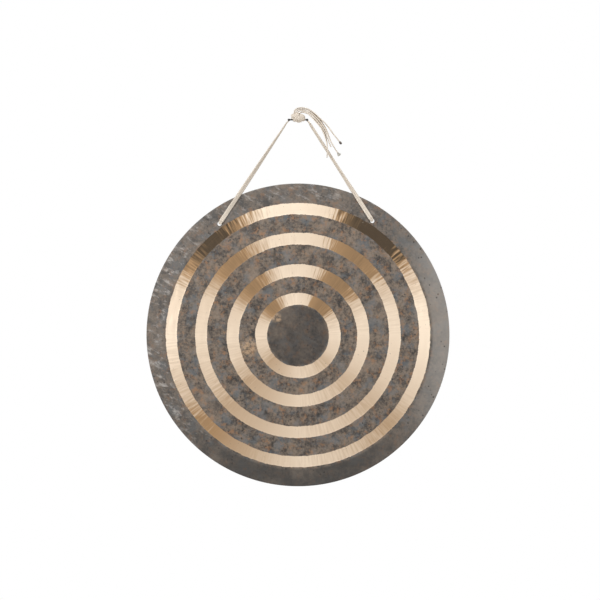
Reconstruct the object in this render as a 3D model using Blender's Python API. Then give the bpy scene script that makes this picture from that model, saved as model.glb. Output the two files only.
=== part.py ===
"""Sun gong on its sling.

One dished bronze plate with four scraped rings hangs on two flat cotton tapes. Each tape is folded
through a hole near the rim, and the four ends are tied in one knot round a short black pin.
Metres, +Z up. The origin is on the pin's axis, over the middle of the gong, and the face that is
struck looks along -Y.
"""

import math

import bmesh
import bpy
import numpy as np
from mathutils import Matrix, Vector

# Running gap that neighbouring pieces keep
CLEARANCE = 0.0003

# Gong plate
GONG_RADIUS = 0.250
PLATE_THICKNESS = 0.0016
RIM_ROUNDING = 0.0005
DISH_DEPTH = 0.014
DISH_POWER = 2.8
GONG_TURN = math.radians(1.05)
GONG_SEGMENTS = 64
LONGEST_FACET = 0.020

# Scraped rings, from the rim inwards
RIM_BAND = 0.0322
RING_WIDTHS = (0.0186, 0.0194, 0.0201, 0.0193)
RING_GAPS = (0.0301, 0.0324, 0.0271)
SCRAPE_DEPTH = 0.00015
SCRAPE_EDGE = 0.0003

# Holes for the tapes
HOLE_RADIUS = 0.0034
HOLE_EDGE_DISTANCE = 0.0255
HOLE_HALF_ANGLE = math.radians(34.05)
HOLE_SIDES = 20

# Pin that carries the sling
PIN_RADIUS = 0.0017
PIN_LENGTH = 0.034
PIN_DROOP = 0.0008
PIN_STRAIGHT_SHARE = 0.70
PIN_SIDES = 12

# Flat tape, and how it runs from the pin to the holes
TAPE_WIDTH = 0.0070
TAPE_THICKNESS = 0.0018
HANG_DROP = 0.1048
SHOULDER_X = 0.0160
SHOULDER_Z = -0.0010
SPLIT_DEPTH = 0.0080
FRONT_TOP_Y = -0.0020
STRAND_SPACE = 0.0010
RIM_GAP = 0.0028
FOLD_RISE = 0.0034
FOLD_OFFSET = 0.0007
FOLD_HALF_WIDTH = 0.0022
FOLD_HALF_THICKNESS = 0.0016
FOLD_SLOPE_ROOM = 0.0011
TAPE_SIDES = 10
STRAND_STEP = 0.008
FOLD_POINTS = 15

# Turn of each strand about its own line, in degrees, from its fold to its top
LEFT_TURN = ((0.0, 0.0), (0.12, 20.0), (0.45, 36.0), (0.6, 50.0), (0.8, 68.0), (1.0, 86.0))
RIGHT_TURN = ((0.0, 0.0), (0.12, 8.0), (0.45, 55.0), (0.6, 62.0), (0.8, 62.0), (1.0, 66.0))

# Knot
KNOT_CENTRE = (0.00035, 0.0015, 0.0042)
KNOT_HALF_SIZE = (0.01185, 0.0080, 0.0078)
KNOT_BAND_HEIGHT = 0.0009
KNOT_SQUARENESS = 0.86
KNOT_COLUMNS = 28
KNOT_ROWS = 16

# Shoulder of the knot: the two strands of one tape, gathered behind the pin. It starts on the line
# of the strands, and each line here is x outwards, y, z, half the width and half the thickness.
SHOULDER_START = 0.0004
SHOULDER_NARROWING = 0.0036
SHOULDER_ROUTE = (
    (0.0166, 0.0064, -0.0026, 0.0034, 0.0012),
    (0.0140, 0.0066, -0.0003, 0.0033, 0.0014),
    (0.0106, 0.0060, 0.0016, 0.0034, 0.0017),
    (0.0062, 0.0050, 0.0030, 0.0034, 0.0018),
)

# Four tails leave the knot stacked flat on each other and arch over together. This is the line of
# the outermost one, as far as they stay together; the others lie inside it by a tape's thickness.
TAIL_ARCH = (
    (-0.0069, 0.0020, 0.0098),
    (-0.0061, 0.0019, 0.0142),
    (-0.0033, 0.0016, 0.0176),
    (0.0015, 0.0010, 0.0195),
    (0.0082, 0.0002, 0.0196),
    (0.0156, -0.0014, 0.0177),
    (0.0222, -0.0034, 0.0140),
    (0.0296, -0.0060, 0.0079),
    (0.0370, -0.0088, 0.0005),
)

# Where each tail goes after the arch, with its layer there, and its turn at the free end in degrees
# from edge-on. Layers count inwards from the outermost.
TAILS = (
    (
        "tail_long_dark",
        0,
        9,
        (
            (0.0436, -0.0108, -0.0058),
            (0.0510, -0.0120, -0.0140),
            (0.0581, -0.0126, -0.0224),
            (0.0642, -0.0128, -0.0296),
            (0.0688, -0.0128, -0.0354),
        ),
        0.0,
    ),
    (
        "tail_long_pale",
        1,
        9,
        (
            (0.0436, -0.0112, -0.0106),
            (0.0510, -0.0122, -0.0217),
            (0.0553, -0.0126, -0.0326),
            (0.0581, -0.0128, -0.0424),
            (0.0620, -0.0128, -0.0503),
            (0.0655, -0.0128, -0.0558),
        ),
        78.0,
    ),
    (
        "tail_short",
        2,
        8,
        (
            (0.0405, -0.0114, -0.0102),
            (0.0470, -0.0122, -0.0217),
            (0.0513, -0.0126, -0.0326),
            (0.0536, -0.0128, -0.0400),
            (0.0543, -0.0128, -0.0457),
        ),
        0.0,
    ),
    (
        "tail_inner",
        3,
        7,
        (
            (0.0360, -0.0115, -0.0110),
            (0.0422, -0.0123, -0.0217),
            (0.0459, -0.0126, -0.0326),
            (0.0477, -0.0128, -0.0424),
            (0.0482, -0.0128, -0.0523),
            (0.0475, -0.0128, -0.0630),
        ),
        0.0,
    ),
)
TAIL_STEP = 0.004
TAIL_PITCH = TAPE_THICKNESS + 2 * CLEARANCE
END_LENGTH = 0.0052
END_HALF_WIDTHS = {"tail_long_dark": 0.0025, "tail_long_pale": 0.0037}
END_HALF_THICKNESSES = {"tail_long_dark": 0.0020, "tail_long_pale": 0.0015}
END_POINTS = 6

# Derived sizes
TUNNEL_RADIUS = PIN_RADIUS + CLEARANCE
BACK_TOP_Y = FRONT_TOP_Y + TAPE_WIDTH + STRAND_SPACE
FOLD_REACH = PLATE_THICKNESS / 2 + FOLD_SLOPE_ROOM + CLEARANCE + TAPE_THICKNESS / 2
HOLE_CIRCLE = GONG_RADIUS - HOLE_EDGE_DISTANCE
GONG_CENTRE_Z = -(HANG_DROP + GONG_RADIUS)


def clear_scene():
    """Removes whatever the file starts with."""
    for obj in list(bpy.data.objects):
        bpy.data.objects.remove(obj)


def material(name, colour, roughness, metallic):
    """A plain finish for one kind of piece."""
    made = bpy.data.materials.new(name)
    made.use_nodes = True
    shader = made.node_tree.nodes["Principled BSDF"]
    shader.inputs["Base Color"].default_value = (*colour, 1.0)
    shader.inputs["Roughness"].default_value = roughness
    shader.inputs["Metallic"].default_value = metallic
    made.diffuse_color = (*colour, 1.0)
    return made


def mesh_object(name, points, faces, finish):
    """An object from points and faces, smooth apart from its sharp edges."""
    mesh = bpy.data.meshes.new(name)
    mesh.from_pydata([tuple(p) for p in points], [], faces)
    mesh.shade_smooth()
    mesh.set_sharp_from_angle(angle=math.radians(40))
    mesh.materials.append(finish)
    obj = bpy.data.objects.new(name, mesh)
    bpy.context.scene.collection.objects.link(obj)
    return obj


def as_helper(obj):
    """Keeps a cutter or a shape that is joined to another out of the model."""
    obj.hide_render = True
    obj.display_type = "WIRE"
    return obj


def add_boolean(obj, other, operation):
    modifier = obj.modifiers.new(f"{operation.lower()} {other.name}", "BOOLEAN")
    modifier.operation = operation
    modifier.object = other
    modifier.solver = "EXACT"


def loft(name, rings, finish):
    """A closed body through rings of points of equal count, with a flat face on each end."""
    rings = np.asarray(rings)
    count, sides = rings.shape[:2]
    faces = []
    for row in range(count - 1):
        for side in range(sides):
            after = (side + 1) % sides
            here, ahead = row * sides, (row + 1) * sides
            faces.append((here + side, here + after, ahead + after, ahead + side))
    faces.append(tuple(reversed(range(sides))))
    faces.append(tuple(range((count - 1) * sides, count * sides)))
    obj = mesh_object(name, rings.reshape(-1, 3), faces, finish)
    outward(obj.data)
    return obj


def outward(mesh):
    """Turns every face of a closed mesh outwards."""
    work = bmesh.new()
    work.from_mesh(mesh)
    bmesh.ops.recalc_face_normals(work, faces=work.faces)
    work.to_mesh(mesh)
    work.free()


def unit(vectors):
    return vectors / np.linalg.norm(vectors, axis=-1, keepdims=True)


def tangents(path):
    return unit(np.gradient(path, axis=0))


def along(path):
    """Distance travelled at each point of a path."""
    steps = np.linalg.norm(np.diff(path, axis=0), axis=1)
    return np.concatenate([[0.0], np.cumsum(steps)])


def smooth_curve(points, step):
    """A Catmull-Rom curve through the points, with points about step apart."""
    knots = np.asarray(points, float)
    padded = np.vstack([2 * knots[0] - knots[1], knots, 2 * knots[-1] - knots[-2]])
    pieces = []
    for a, b, c, d in zip(padded, padded[1:], padded[2:], padded[3:]):
        t = np.linspace(0.0, 1.0, 24, endpoint=False)[:, None]
        slope, bend = c - a, 2 * a - 5 * b + 4 * c - d
        pieces.append(0.5 * (2 * b + slope * t + bend * t**2 + (3 * b - a - 3 * c + d) * t**3))
    fine = np.vstack([*pieces, knots[-1:]])
    travelled = along(fine)
    wanted = np.linspace(0.0, travelled[-1], max(3, round(travelled[-1] / step) + 1))
    return np.stack([np.interp(wanted, travelled, fine[:, axis]) for axis in range(3)], axis=1)


def tape_rings(path, turn, half_widths, half_thicknesses, ahead=None):
    """Sections of a flat tape along a path. A turn of 0 shows its flat side along Y, and a quarter
    turn shows its edge. A section is a superellipse, so its long edges are nearly straight."""
    if ahead is None:
        ahead = tangents(path)
    depth = np.array([0.0, 1.0, 0.0])
    sideways = unit(np.cross(ahead, depth))
    inward = unit(depth - (ahead @ depth)[:, None] * ahead)
    turn = np.radians(turn)[:, None]
    width = np.cos(turn) * sideways + np.sin(turn) * inward
    thick = np.cross(ahead, width)
    angle = np.arange(TAPE_SIDES) * 2 * math.pi / TAPE_SIDES
    across = np.sign(np.cos(angle)) * np.abs(np.cos(angle)) ** 0.6
    over = np.sign(np.sin(angle)) * np.abs(np.sin(angle)) ** 0.6
    wide = half_widths[:, None, None] * across[None, :, None] * width[:, None, :]
    deep = half_thicknesses[:, None, None] * over[None, :, None] * thick[:, None, :]
    return path[:, None, :] + wide + deep


# The plate, and where it hangs


def dish_height(radius):
    """How far the middle of the plate's wall stands forward of the rim."""
    return DISH_DEPTH * (1 - (radius / GONG_RADIUS) ** DISH_POWER)


def ring_bounds():
    """Inner and outer radius of each scraped ring, from the rim inwards."""
    outer = GONG_RADIUS - RIM_BAND
    for width, gap in zip(RING_WIDTHS, (*RING_GAPS, 0.0)):
        yield outer - width, outer
        outer -= width + gap


def scraped_profile():
    """(radius, depth scraped away) from the middle to the rim's rounding."""
    points = [(0.0, 0.0)]
    for inner, outer in reversed(list(ring_bounds())):
        points.append((inner - SCRAPE_EDGE, 0.0))
        points.append((inner, SCRAPE_DEPTH))
        points.append((outer, SCRAPE_DEPTH))
        points.append((outer + SCRAPE_EDGE, 0.0))
    points.append((GONG_RADIUS - RIM_ROUNDING, 0.0))
    filled = [points[0]]
    for (r0, s0), (r1, s1) in zip(points, points[1:]):
        parts = math.ceil((r1 - r0) / LONGEST_FACET)
        for i in range(1, parts + 1):
            filled.append((r0 + (r1 - r0) * i / parts, s0 + (s1 - s0) * i / parts))
    return filled


def plate_section():
    """(radius, forward) round the plate's wall, from the front's middle over the rim to the back's."""
    half = PLATE_THICKNESS / 2
    face = scraped_profile()
    rim = dish_height(GONG_RADIUS)
    front = [(r, dish_height(r) + half - scraped) for r, scraped in face]
    edge = [(GONG_RADIUS, rim + half - RIM_ROUNDING), (GONG_RADIUS, rim - half + RIM_ROUNDING)]
    back = [(r, dish_height(r) - half + scraped) for r, scraped in reversed(face)]
    return front + edge + back


def hole_place(side):
    """Middle of a hole on the plate's own axes: side is -1 on the left and 1 on the right."""
    angle = side * HOLE_HALF_ANGLE
    x, z = HOLE_CIRCLE * math.sin(angle), HOLE_CIRCLE * math.cos(angle)
    return Vector((x, -dish_height(HOLE_CIRCLE), z))


def strand_direction(hole, side):
    """Unit vector from a hole to its shoulder, as seen from the front."""
    return Vector((side * SHOULDER_X - hole.x, 0.0, SHOULDER_Z - hole.z)).normalized()


def centre_of_mass_height():
    """Forward place of the plate's centre of mass, from its dished section."""
    radii = np.linspace(0.0, GONG_RADIUS, 2001)
    return float(np.sum(dish_height(radii) * radii) / np.sum(radii))


def plate_place():
    """The plate's place, and the line on which its holes bear on the tapes. The plate nods about
    that line until its centre of mass is straight below it."""
    upright = Matrix.Translation((0.0, dish_height(HOLE_CIRCLE), GONG_CENTRE_Z))
    upright = upright @ Matrix.Rotation(-GONG_TURN, 4, "Y")
    bearings = []
    for side in (-1, 1):
        hole = upright @ hole_place(side)
        bearings.append(hole + HOLE_RADIUS * strand_direction(hole, side))
    left, right = bearings
    centre = upright @ Vector((0.0, -centre_of_mass_height(), 0.0))
    tilt = math.atan2(centre.y, centre.z - (left.z + right.z) / 2)
    if tilt > math.pi / 2:
        tilt -= math.pi
    if tilt < -math.pi / 2:
        tilt += math.pi
    nod = Matrix.Translation(left) @ Matrix.Rotation(tilt, 4, right - left)
    return nod @ Matrix.Translation(-left) @ upright, left, right


PLATE_MATRIX, LEFT_BEARING, RIGHT_BEARING = plate_place()


def make_gong_plate(finish):
    section = plate_section()
    turns = np.arange(GONG_SEGMENTS) * 2 * math.pi / GONG_SEGMENTS
    points = [(0.0, -section[0][1], 0.0)]
    for radius, forward in section[1:-1]:
        ring = [(radius * math.sin(t), -forward, radius * math.cos(t)) for t in turns]
        points.extend(ring)
    points.append((0.0, -section[-1][1], 0.0))
    last, rows = len(points) - 1, len(section) - 2
    faces = []
    for i in range(GONG_SEGMENTS):
        after = (i + 1) % GONG_SEGMENTS
        faces.append((0, 1 + i, 1 + after))
        end = 1 + (rows - 1) * GONG_SEGMENTS
        faces.append((last, end + after, end + i))
        for row in range(rows - 1):
            here, ahead = 1 + row * GONG_SEGMENTS, 1 + (row + 1) * GONG_SEGMENTS
            faces.append((here + i, ahead + i, ahead + after, here + after))
    plate = mesh_object("gong_plate", points, faces, finish)
    outward(plate.data)
    hinge = bpy.data.objects.new("gong_nod_axis", None)
    bpy.context.scene.collection.objects.link(hinge)
    hinge.location = (LEFT_BEARING + RIGHT_BEARING) / 2
    plate.parent = hinge
    plate.matrix_parent_inverse = Matrix.Translation(-hinge.location)
    plate.matrix_basis = PLATE_MATRIX
    for side, label in ((-1, "left"), (1, "right")):
        add_boolean(plate, make_hole_cutter(side, label), "DIFFERENCE")
    return plate


def make_hole_cutter(side, label):
    """A drill for one hole, square to the wall where it goes through."""
    mesh = bpy.data.meshes.new(f"hole_cutter_{label}")
    work = bmesh.new()
    bmesh.ops.create_cone(
        work,
        cap_ends=True,
        segments=HOLE_SIDES,
        radius1=HOLE_RADIUS,
        radius2=HOLE_RADIUS,
        depth=8 * PLATE_THICKNESS,
    )
    work.to_mesh(mesh)
    work.free()
    cutter = bpy.data.objects.new(f"hole_cutter_{label}", mesh)
    bpy.context.scene.collection.objects.link(cutter)
    place = PLATE_MATRIX @ Matrix.Translation(hole_place(side))
    cutter.matrix_world = place @ Matrix.Rotation(math.pi / 2, 4, "X")
    return as_helper(cutter)


# The tapes


def rim_crossing(side):
    """Where a strand passes over the rim: the middle of the wall there, in the world."""
    hole = PLATE_MATRIX @ hole_place(side)
    centre = PLATE_MATRIX @ Vector((0.0, 0.0, 0.0))
    ahead = strand_direction(hole, side)
    from_centre = Vector((hole.x - centre.x, 0.0, hole.z - centre.z))
    towards = from_centre.dot(ahead)
    reach = -towards + math.sqrt(towards**2 - from_centre.length_squared + GONG_RADIUS**2)
    over = from_centre + reach * ahead
    local = Matrix.Rotation(GONG_TURN, 4, "Y") @ over
    place = PLATE_MATRIX @ Vector((local.x, -dish_height(GONG_RADIUS), local.z))
    return reach, place.y


def strand_path(side, face):
    """Middle line of one strand, from its fold up to the knot's shoulder. face is -1 for the strand
    in front of the plate and 1 for the one behind it."""
    hole = PLATE_MATRIX @ hole_place(side)
    ahead = strand_direction(hole, side)
    reach, rim_y = rim_crossing(side)
    start = FOLD_OFFSET + FOLD_RISE + CLEARANCE
    end = (-SPLIT_DEPTH - CLEARANCE - hole.z) / ahead.z
    top_y = FRONT_TOP_Y if face < 0 else BACK_TOP_Y
    beside_rim = rim_y + face * (PLATE_THICKNESS / 2 + RIM_GAP + TAPE_THICKNESS / 2)
    places = []
    for distance, y in ((start, face * FOLD_REACH), (reach, beside_rim), (end, top_y)):
        place = hole + distance * ahead
        places.append((place.x, y, place.z))
    return smooth_curve(places, STRAND_STEP)


def fold_path(side):
    """Middle line of the fold that carries the plate, from the front strand through the hole."""
    hole = PLATE_MATRIX @ hole_place(side)
    ahead = strand_direction(hole, side)
    half_turn = np.linspace(-math.pi / 2, math.pi / 2, FOLD_POINTS)
    rise = FOLD_OFFSET + FOLD_RISE * (1 - np.cos(half_turn))
    points = np.array(hole)[None, :] + rise[:, None] * np.array(ahead)[None, :]
    points[:, 1] = FOLD_REACH * np.sin(half_turn)
    return points


def make_strand(name, side, face, turns, finish):
    path = strand_path(side, face)
    share = along(path) / along(path)[-1]
    angle = np.interp(share, [t[0] for t in turns], [t[1] for t in turns])
    wide = np.full(len(path), TAPE_WIDTH / 2)
    thick = np.full(len(path), TAPE_THICKNESS / 2)
    return loft(name, tape_rings(path, side * angle, wide, thick), finish)


def make_fold(name, side, finish):
    """The tape narrows and bunches up where it goes through the hole."""
    path = fold_path(side)
    hole = PLATE_MATRIX @ hole_place(side)
    ahead = np.array(strand_direction(hole, side))
    across = unit(np.cross(ahead, [0.0, 1.0, 0.0]))
    half_turn = np.linspace(-math.pi / 2, math.pi / 2, FOLD_POINTS)
    ends = np.clip((np.abs(half_turn) / (math.pi / 2) - 0.25) / 0.75, 0.0, 1.0)
    ends = ends**2 * (3 - 2 * ends)
    wide = FOLD_HALF_WIDTH + (TAPE_WIDTH / 2 - FOLD_HALF_WIDTH) * ends
    thick = FOLD_HALF_THICKNESS + (TAPE_THICKNESS / 2 - FOLD_HALF_THICKNESS) * ends
    forward = tangents(path)
    forward[0], forward[-1] = -ahead, ahead
    normal = np.cross(forward, across[None, :])
    angle = np.arange(TAPE_SIDES) * 2 * math.pi / TAPE_SIDES
    over = np.sign(np.cos(angle)) * np.abs(np.cos(angle)) ** 0.6
    up = np.sign(np.sin(angle)) * np.abs(np.sin(angle)) ** 0.6
    rings = (
        path[:, None, :]
        + wide[:, None, None] * over[None, :, None] * across[None, None, :]
        + thick[:, None, None] * up[None, :, None] * normal[:, None, :]
    )
    return loft(name, rings, finish)


# The knot and its tails


def knot_point(around, up, swell):
    """A point of the knot's rounded block: around and up are angles, and swell stands it out."""

    def power(value):
        return math.copysign(abs(value) ** KNOT_SQUARENESS, value)

    direction = (
        power(math.cos(up)) * power(math.cos(around)),
        power(math.cos(up)) * power(math.sin(around)),
        power(math.sin(up)),
    )
    return tuple(c + (h + swell) * d for c, h, d in zip(KNOT_CENTRE, KNOT_HALF_SIZE, direction))


def knot_swell(around, up):
    """Height of the tape's turns over the knot: two slanting bands and one round its waist."""
    x = math.cos(up) * math.cos(around)
    y = math.cos(up) * math.sin(around)
    z = math.sin(up)
    height = 0.0
    for slant, side in (((0.75, 0.2, 0.63), 0.30), ((-0.62, 0.15, 0.77), 0.28), ((0.1, 0.97, 0.2), 0.22)):
        off = abs(x * slant[0] + y * slant[1] + z * slant[2])
        height = max(height, KNOT_BAND_HEIGHT * max(0.0, 1 - (off / side) ** 2))
    return height - KNOT_BAND_HEIGHT


def make_knot(finish):
    """A block of crossing turns with its two shoulders, and a tunnel for the pin."""
    rows = [[knot_point(0.0, -math.pi / 2, -KNOT_BAND_HEIGHT)]]
    for row in range(1, KNOT_ROWS):
        up = -math.pi / 2 + math.pi * row / KNOT_ROWS
        angles = [2 * math.pi * column / KNOT_COLUMNS for column in range(KNOT_COLUMNS)]
        rows.append([knot_point(a, up, knot_swell(a, up)) for a in angles])
    rows.append([knot_point(0.0, math.pi / 2, -KNOT_BAND_HEIGHT)])
    points = [point for row in rows for point in row]
    faces = []
    for column in range(KNOT_COLUMNS):
        after = (column + 1) % KNOT_COLUMNS
        faces.append((0, 1 + after, 1 + column))
        end = 1 + (KNOT_ROWS - 2) * KNOT_COLUMNS
        faces.append((len(points) - 1, end + column, end + after))
        for row in range(KNOT_ROWS - 2):
            here, ahead = 1 + row * KNOT_COLUMNS, 1 + (row + 1) * KNOT_COLUMNS
            faces.append((here + column, here + after, ahead + after, ahead + column))
    knot = mesh_object("tape_knot", points, faces, finish)
    outward(knot.data)
    for side, label in ((-1, "left"), (1, "right")):
        add_boolean(knot, make_shoulder(side, label, finish), "UNION")
    add_boolean(knot, make_tunnel(), "DIFFERENCE")
    return knot


def shoulder_route(side):
    """The shoulder's points, the first two of them on the line of the strands that it gathers."""
    hole = PLATE_MATRIX @ hole_place(side)
    ahead = strand_direction(hole, side)
    end = (-SPLIT_DEPTH - CLEARANCE - hole.z) / ahead.z
    middle = (FRONT_TOP_Y + BACK_TOP_Y) / 2
    spread = (BACK_TOP_Y - FRONT_TOP_Y + TAPE_WIDTH) / 2
    points = []
    for further, wide in ((SHOULDER_START, spread), (SHOULDER_NARROWING, 0.65 * spread)):
        place = hole + (end + further) * ahead
        points.append((place.x, middle, place.z, wide, TAPE_THICKNESS / 2))
    points.extend((side * x, y, z, wide, thick) for x, y, z, wide, thick in SHOULDER_ROUTE)
    return np.array(points)


def make_shoulder(side, label, finish):
    route = shoulder_route(side)
    fine = smooth_curve(route[:, :3], 0.0022)
    share = along(fine) / along(fine)[-1]
    marks = along(route[:, :3]) / along(route[:, :3])[-1]
    wide = np.interp(share, marks, route[:, 3])
    thick = np.interp(share, marks, route[:, 4])
    ahead = unit(tangents(fine) * np.array([1.0, 0.0, 1.0]))
    rings = tape_rings(fine, np.full(len(fine), 90.0), wide, thick, ahead)
    return as_helper(loft(f"shoulder_{label}", rings, finish))


def make_tunnel():
    angle = np.arange(PIN_SIDES * 2) * math.pi / PIN_SIDES
    rings = []
    for x in (-PIN_LENGTH, PIN_LENGTH):
        y, z = TUNNEL_RADIUS * np.cos(angle), TUNNEL_RADIUS * np.sin(angle)
        rings.append(np.stack([np.full(len(angle), x), y, z], axis=1))
    mesh_finish = bpy.data.materials["cotton_tape"]
    return as_helper(loft("pin_tunnel", rings, mesh_finish))


def outside_knot(points, margin):
    """Which points lie clear of the knot's block by about the margin."""
    half = np.array(KNOT_HALF_SIZE) + margin
    return np.sum(((points - np.array(KNOT_CENTRE)) / half) ** 2, axis=1) > 1.0


def tail_path(layer, shared, free):
    """A tail's middle line: the arch moved inwards by its layer, then its own points. An inner
    layer leaves the knot further along, so it leaves out the arch's first points."""
    arch = smooth_curve(TAIL_ARCH, TAIL_STEP / 4)
    inward = np.cross(tangents(arch), [0.0, -1.0, 0.0])
    moved = arch + layer * TAIL_PITCH * unit(inward)
    marks = np.searchsorted(along(arch), along(np.array(TAIL_ARCH[:shared])))
    marks = np.clip(marks, 0, len(arch) - 1)
    left_out = layer + 1 if layer else 0
    path = smooth_curve([*moved[marks][left_out:], *free], TAIL_STEP / 4)
    clear = outside_knot(path, CLEARANCE + TAPE_THICKNESS / 2)
    start = int(np.argmax(clear))
    return smooth_curve(path[start:], TAIL_STEP)


def make_tail(name, layer, shared, free, end_turn, finish):
    path = tail_path(layer, shared, free)
    share = along(path) / along(path)[-1]
    turn = 90.0 - end_turn * np.clip((share - 0.6) / 0.4, 0.0, 1.0) ** 2
    wide = np.full(len(path), TAPE_WIDTH / 2)
    thick = np.full(len(path), TAPE_THICKNESS / 2)
    if name in END_HALF_WIDTHS:
        make_fused_end(name, path, 90.0 - end_turn, finish)
    return loft(name, tape_rings(path, turn, wide, thick), finish)


def make_fused_end(tail, path, turn, finish):
    """The melted end of a tail, a lump that tapers towards the tape."""
    ahead = tangents(path)[-1]
    share = np.linspace(0.0, 1.0, END_POINTS)
    line = path[-1] + ahead * (CLEARANCE + END_LENGTH * share[:, None])
    swell = 0.55 + 0.45 * np.sin(math.pi * (0.12 + 0.7 * share))
    rings = tape_rings(
        line,
        np.full(END_POINTS, turn),
        END_HALF_WIDTHS[tail] * swell,
        END_HALF_THICKNESSES[tail] * swell,
    )
    loft(tail.replace("tail_long", "fused_end"), rings, finish)


# The pin


def make_pin(finish):
    """A straight rod whose two ends droop a little beyond the knot."""
    half = PIN_LENGTH / 2
    straight = PIN_STRAIGHT_SHARE * half
    xs = np.concatenate(
        [np.linspace(-half, -straight, 5), np.linspace(straight, half, 5)]
    )
    beyond = np.clip((np.abs(xs) - straight) / (half - straight), 0.0, 1.0)
    line = np.stack([xs, np.zeros(len(xs)), -PIN_DROOP * beyond**2], axis=1)
    radius = np.full(len(xs), PIN_RADIUS)
    radius[[0, -1]] = 0.7 * PIN_RADIUS
    angle = np.arange(PIN_SIDES) * 2 * math.pi / PIN_SIDES
    ahead = tangents(line)
    up = np.cross(ahead, [0.0, -1.0, 0.0])
    rings = (
        line[:, None, :]
        + (radius[:, None] * np.cos(angle))[:, :, None] * np.array([0.0, 1.0, 0.0])
        + (radius[:, None] * np.sin(angle))[:, :, None] * up[:, None, :]
    )
    return loft("hanger_pin", rings, finish)


def main():
    clear_scene()
    bronze = material("scaled_bronze", (0.15, 0.125, 0.105), 0.5, 0.9)
    tape = material("cotton_tape", (0.74, 0.66, 0.56), 0.85, 0.0)
    dark_end = material("melted_dark", (0.14, 0.11, 0.10), 0.4, 0.0)
    pale_end = material("melted_pale", (0.50, 0.48, 0.43), 0.4, 0.0)
    black = material("black_steel", (0.02, 0.02, 0.018), 0.45, 0.8)
    make_gong_plate(bronze)
    make_pin(black)
    make_knot(tape)
    for side, label, turns in ((-1, "left", LEFT_TURN), (1, "right", RIGHT_TURN)):
        make_strand(f"strand_{label}_front", side, -1, turns, tape)
        make_strand(f"strand_{label}_back", side, 1, turns, tape)
        make_fold(f"fold_{label}", side, tape)
    for name, layer, shared, free, end_turn in TAILS:
        make_tail(name, layer, shared, free, end_turn, tape)
    for name, finish in (("fused_end_dark", dark_end), ("fused_end_pale", pale_end)):
        bpy.data.objects[name].data.materials[0] = finish


main()
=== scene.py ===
"""Looks of the sun gong: scraped bronze, flat cotton tape, a tied knot and a short black pin.

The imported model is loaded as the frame, and each of its nodes is replaced by a finer surface that is
worked out with numpy on a grid. Metres, +Z up, and the struck face looks along -Y.
"""

import math

import bmesh
import bpy
import numpy as np
from bpy.props import FloatProperty, FloatVectorProperty, IntProperty, PointerProperty
from mathutils import Matrix, Vector


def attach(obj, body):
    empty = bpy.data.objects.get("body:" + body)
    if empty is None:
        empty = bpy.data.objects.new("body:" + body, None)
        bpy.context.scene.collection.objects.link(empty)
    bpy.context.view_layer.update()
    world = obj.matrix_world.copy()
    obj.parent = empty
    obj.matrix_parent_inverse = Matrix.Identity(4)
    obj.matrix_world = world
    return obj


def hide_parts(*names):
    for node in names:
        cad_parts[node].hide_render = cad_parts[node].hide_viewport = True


bl_info = {
    "name": "Sun gong",
    "version": (1, 0, 0),
    "blender": (4, 5, 0),
    "location": "View3D > Sidebar > Gong",
    "description": "Makes a hammered sun gong that hangs on a knotted flat tape",
    "category": "Object",
}

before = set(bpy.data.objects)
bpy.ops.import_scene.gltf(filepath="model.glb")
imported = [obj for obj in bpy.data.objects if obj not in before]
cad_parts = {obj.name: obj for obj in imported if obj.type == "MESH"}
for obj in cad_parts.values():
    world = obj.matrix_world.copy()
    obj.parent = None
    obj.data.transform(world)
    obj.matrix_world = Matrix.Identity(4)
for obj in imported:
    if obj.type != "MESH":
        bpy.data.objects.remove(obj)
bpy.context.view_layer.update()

TAPE_HALF = (0.0035, 0.0009)
STRAND_GAP = 0.0003
STRANDS_END_Z = -0.0083
SCRAPE_DEPTH = 0.00015
RING_BANDS = ((0.0508, 0.0701), (0.0972, 0.1173), (0.1497, 0.1691), (0.1992, 0.2178))
HOLE_HALF_ANGLE = math.radians(34.05)
FOLD_REACH = 0.0031
FOLD_RISE = 0.0034
FOLD_OFFSET = 0.0007
LEFT_TURN = ((0.0, 0.12, 0.45, 0.6, 0.8, 1.0), (0.0, 20.0, 36.0, 50.0, 68.0, 86.0))
RIGHT_TURN = ((0.0, 0.12, 0.45, 0.6, 0.8, 1.0), (0.0, 8.0, 55.0, 62.0, 62.0, 66.0))
TAIL_ARCH = (
    (-0.0069, 0.0020, 0.0098),
    (-0.0061, 0.0019, 0.0142),
    (-0.0033, 0.0016, 0.0176),
    (0.0015, 0.0010, 0.0195),
    (0.0082, 0.0002, 0.0196),
    (0.0156, -0.0014, 0.0177),
    (0.0222, -0.0034, 0.0140),
    (0.0296, -0.0060, 0.0079),
    (0.0370, -0.0088, 0.0005),
)
TAIL_PITCH = 0.0024
KNOT_CENTRE = (0.00035, 0.0015, 0.0038)
KNOT_HALF = (0.0114, 0.0064, 0.0061)
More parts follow.
